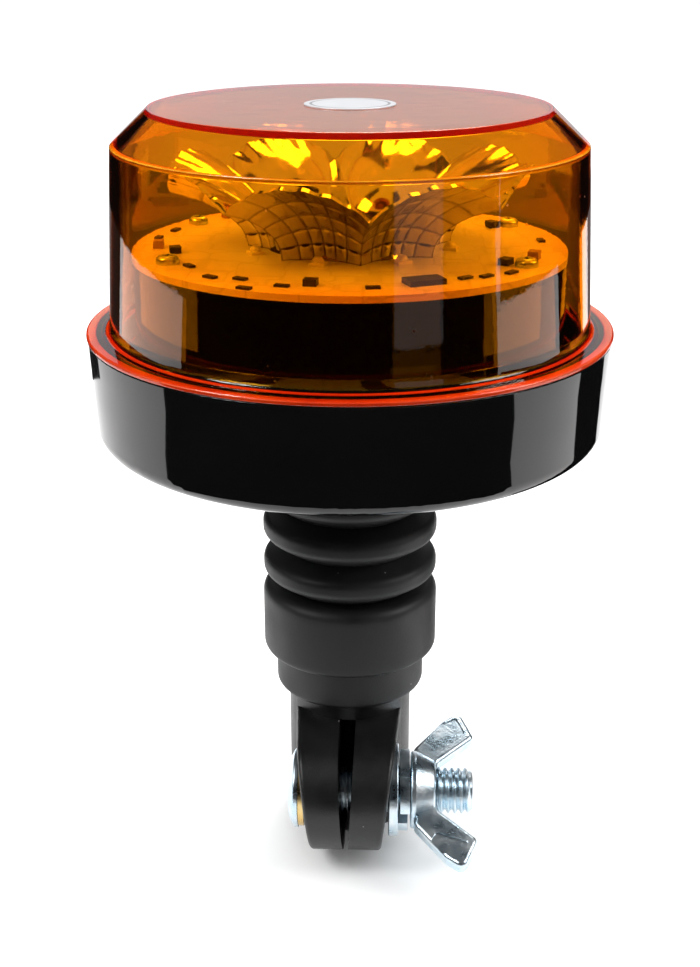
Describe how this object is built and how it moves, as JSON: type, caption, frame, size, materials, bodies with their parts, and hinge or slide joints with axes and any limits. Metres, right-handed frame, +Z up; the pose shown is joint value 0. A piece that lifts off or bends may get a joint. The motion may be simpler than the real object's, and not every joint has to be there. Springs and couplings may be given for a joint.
{
  "type": "warning beacon",
  "caption": "Amber LED warning beacon: clear domed lens over a petalled reflector, shallow black base, sprung rubber neck and a pole socket clamped by a wing nut.",
  "frame": {"origin": "on the axis of the pole bore, at the mouth of the socket", "axes": "+Z up along the pole towards the lens, the clamp's ears towards -Y, the clamp bolt along +X"},
  "size_m": [0.13, 0.13, 0.1928],
  "materials": {
    "amber_lens": "clear amber polycarbonate, polished",
    "black_gloss": "polished black housing plastic",
    "board_white": "white solder mask",
    "chip_black": "black epoxy",
    "chip_tan": "ceramic",
    "contact_brass": "turned brass",
    "insulator": "moulded insulating plastic",
    "label_silver": "plain silver-white film",
    "lead_black": "black wire insulation",
    "lead_red": "red wire insulation",
    "led_package": "white ceramic body with a clear dome",
    "neck_rubber": "matt black rubber with a fine grain",
    "reflector_plate": "vacuum metallised plastic, mirror bright",
    "seal_rubber": "soft black seal",
    "socket_plastic": "satin black glass-filled nylon",
    "spring_steel": "plain spring steel",
    "yellow_zinc": "yellow passivated zinc plate",
    "zinc": "bright blue-white zinc plate"
  },
  "bodies": {
    "socket": {"pole_socket": "socket_plastic", "contact_holder": "insulator", "contact_spring": "spring_steel", "earth_contact": "contact_brass", "clamp_bolt": "zinc", "head_washer": "yellow_zinc"},
    "contact": {"centre_contact": "contact_brass"},
    "washers": {"flat_washer": "zinc", "spring_washer": "zinc"},
    "nut": {"wing_nut": "zinc"},
    "neck": {"flexible_neck": "neck_rubber", "positive_lead": "lead_red", "earth_lead": "lead_black"},
    "head": {"base_housing": "black_gloss", "neck_clamp_ring": "spring_steel", "neck_screws": "zinc", "board_carrier": "black_gloss", "carrier_screws": "zinc", "led_board": "board_white", "board_screws": "zinc", "leds": "led_package", "driver_chips": "chip_black", "chip_resistors": "chip_black", "capacitors": "chip_tan", "board_connector": "insulator", "reflector": "reflector_plate", "reflector_screws": "zinc", "lens": "amber_lens", "lens_gasket": "seal_rubber", "lens_screws": "zinc", "top_disc": "label_silver"}
  },
  "joints": [
    {"name": "neck_tilt_fore_aft", "type": "hinge", "parent": "socket", "child": "neck", "pos_m": [0, 0, 0.0802], "axis": [1, 0, 0], "range_deg": [-30, 30], "stiffness_Nm_per_rad": 6, "deforming": ["flexible_neck", "positive_lead", "earth_lead"]},
    {"name": "neck_tilt_sideways", "type": "hinge", "parent": "neck", "child": "head", "pos_m": [0, 0, 0.1015], "axis": [0, 1, 0], "range_deg": [-30, 30], "stiffness_Nm_per_rad": 6},
    {"name": "wing_nut_turn", "type": "hinge", "parent": "washers", "child": "nut", "pos_m": [0.0168, -0.025, 0.0195], "axis": [1, 0, 0], "range_deg": [0, 1080]},
    {"name": "wing_nut_travel", "type": "slide", "parent": "socket", "child": "washers", "axis": [1, 0, 0], "range_m": [0, 0.00525]},
    {"name": "contact_travel", "type": "slide", "parent": "socket", "child": "contact", "axis": [0, 0, 1], "range_m": [0, 0.003], "stiffness_N_per_m": 600, "springref_m": -0.002, "deforming": ["contact_spring"]}
  ],
  "couplings": [
    {"joint": "wing_nut_turn", "follows": "wing_nut_travel", "rad_per_m": 3590.4}
  ]
}
